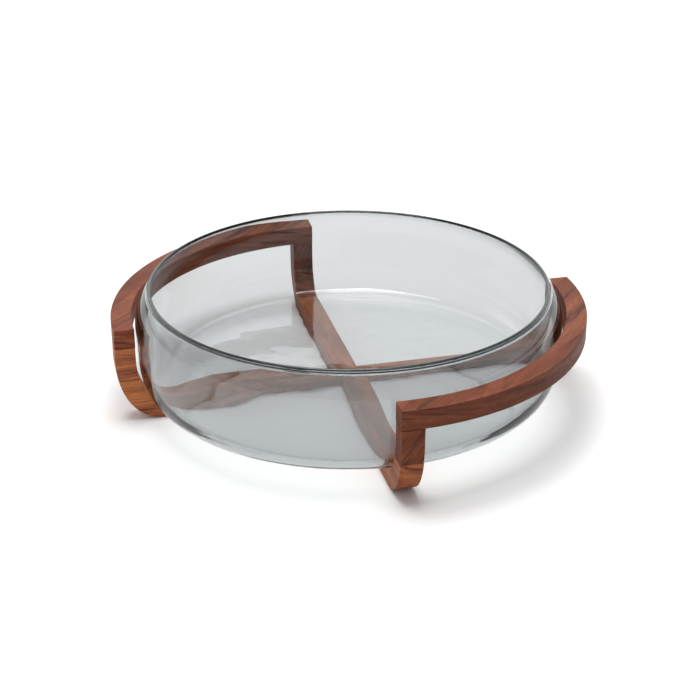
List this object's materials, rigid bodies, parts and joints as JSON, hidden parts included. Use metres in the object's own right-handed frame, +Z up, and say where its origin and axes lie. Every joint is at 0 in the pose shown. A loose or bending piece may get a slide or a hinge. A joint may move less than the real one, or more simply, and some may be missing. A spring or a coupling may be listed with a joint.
{
  "type": "chip and dip server",
  "caption": "Round clear glass bowl that lifts out of a low wooden cradle with crossed beams, upturned legs and curved handle rails.",
  "frame": {"origin": "on the surface the server stands on, under the centre of the bowl", "axes": "+Z up along the bowl's axis, -Y towards the front leg, +X towards the right leg"},
  "size_m": [0.292, 0.292, 0.0758],
  "materials": {
    "bowl_glass": "clear, polished",
    "rail_wood": "satin oiled",
    "leg_wood": "satin oiled",
    "beam_wood": "satin oiled",
    "dowel_wood": "plain"
  },
  "bodies": {
    "cradle": {"cross_beam_upper": "beam_wood", "cross_beam_lower": "beam_wood", "handle_rail_right": "rail_wood", "handle_rail_left": "rail_wood", "leg_front": "leg_wood", "leg_right": "leg_wood", "leg_back": "leg_wood", "leg_left": "leg_wood", "leg_dowel_front": "dowel_wood", "leg_dowel_right": "dowel_wood", "leg_dowel_back": "dowel_wood", "leg_dowel_left": "dowel_wood", "rail_dowel_front": "dowel_wood", "rail_dowel_right": "dowel_wood", "rail_dowel_back": "dowel_wood", "rail_dowel_left": "dowel_wood"},
    "bowl": {"glass_bowl": "bowl_glass"}
  },
  "joints": [
    {"name": "bowl_lift", "type": "slide", "parent": "cradle", "child": "bowl", "axis": [0, 0, 1], "range_m": [0, 0.09]}
  ]
}
